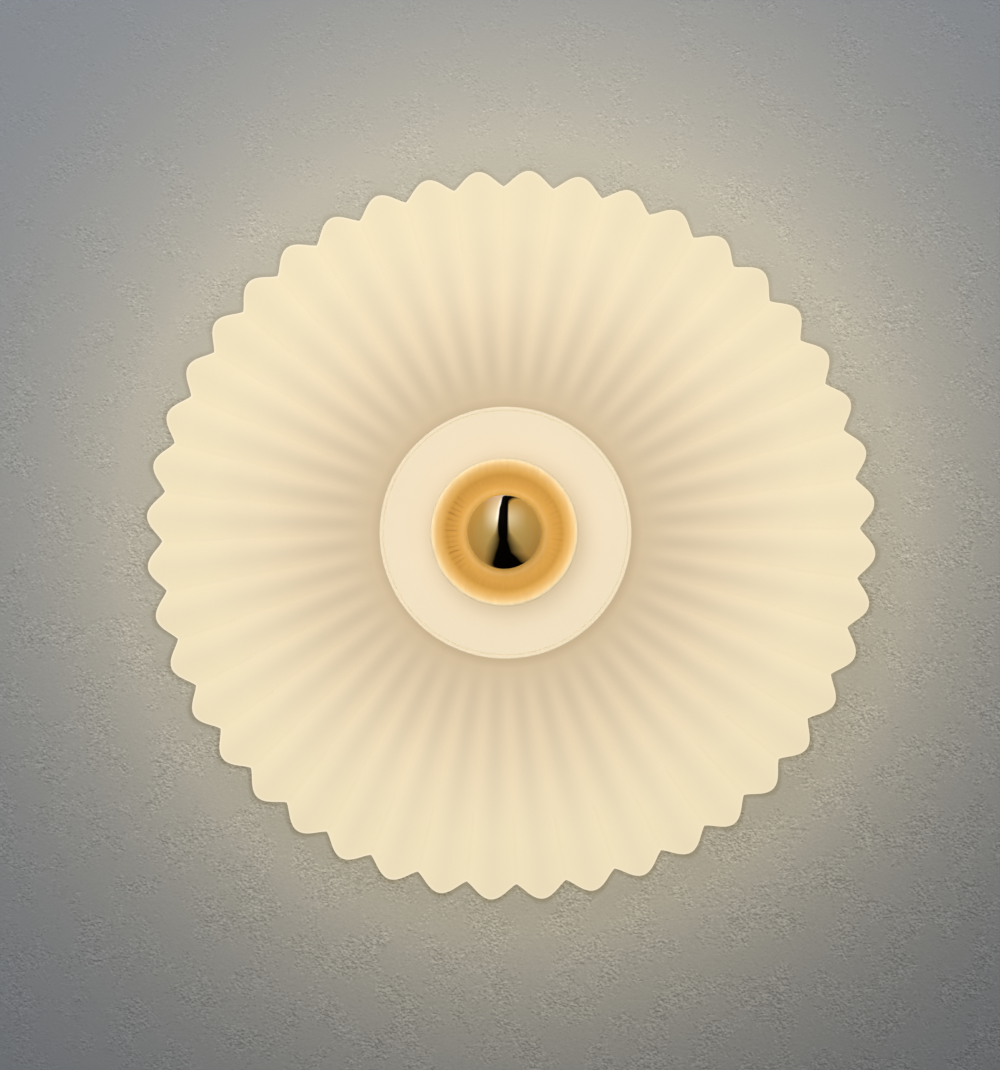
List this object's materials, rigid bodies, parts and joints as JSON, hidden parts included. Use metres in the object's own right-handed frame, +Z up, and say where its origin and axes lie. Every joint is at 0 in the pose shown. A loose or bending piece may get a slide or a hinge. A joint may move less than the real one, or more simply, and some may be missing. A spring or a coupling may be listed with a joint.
{
  "type": "glass wall lamp",
  "caption": "Round wall lamp with a pleated opal glass shade held on a centre rod by a front disc, a turned wooden cup and a brass ball finial.",
  "frame": {"origin": "centre of the wall face, on the lamp's axis", "axes": "+Z up, +Y into the wall, the lamp faces -Y, +X to the right as seen from the front"},
  "size_m": [0.2996, 0.1145, 0.2996],
  "materials": {
    "opal_glass": "glossy opal glass, lit from inside",
    "disc_glass": "satin opal glass, lit from inside",
    "turned_wood": "light wood, turned and clear lacquered",
    "polished_brass": "polished",
    "brass": "plain machined",
    "zinc_steel": "zinc plated",
    "white_paint": "powder coat, matt",
    "white_board": "white solder mask on aluminium",
    "led_phosphor": "phosphor under clear resin",
    "white_plastic": "moulded, matt",
    "grey_plastic": "moulded, matt",
    "black_rubber": "matt",
    "clear_silicone": "translucent silicone",
    "lead_sleeve": "silicone sleeve",
    "felt": "pressed felt"
  },
  "bodies": {
    "base": {"wall_bracket": "zinc_steel", "backplate": "white_paint", "plate_screws": "zinc_steel", "wire_grommet": "black_rubber", "led_driver": "white_plastic", "terminal_block": "grey_plastic", "terminal_screws": "brass", "case_screws": "zinc_steel", "earth_screw": "brass", "earth_tag": "brass", "led_board": "white_board", "led_chips": "led_phosphor", "board_connector": "white_plastic", "board_screws": "zinc_steel", "inner_leads": "lead_sleeve", "centre_rod": "zinc_steel", "rod_nuts": "zinc_steel", "lock_washer": "zinc_steel", "spacer_tube": "white_paint", "shade_seat": "white_paint", "rear_gasket": "clear_silicone"},
    "shade": {"glass_shade": "opal_glass", "front_gasket": "clear_silicone", "front_disc": "disc_glass", "felt_washer": "felt", "wood_cup": "turned_wood"},
    "ball_washer": {"finial_washer": "brass"},
    "ball": {"finial": "polished_brass"}
  },
  "joints": [
    {"name": "shade_lift", "type": "slide", "parent": "base", "child": "shade", "axis": [0, -1, 0], "range_m": [0, 0.11]},
    {"name": "finial_travel", "type": "slide", "parent": "shade", "child": "ball_washer", "axis": [0, -1, 0], "range_m": [0, 0.0121]},
    {"name": "finial_turn", "type": "hinge", "parent": "ball_washer", "child": "ball", "pos_m": [0, -0.1, 0], "axis": [0, -1, 0], "range_deg": [0, 4320]}
  ],
  "couplings": [
    {"joint": "finial_travel", "follows": "finial_turn", "m_per_rad": 0.00015915}
  ]
}
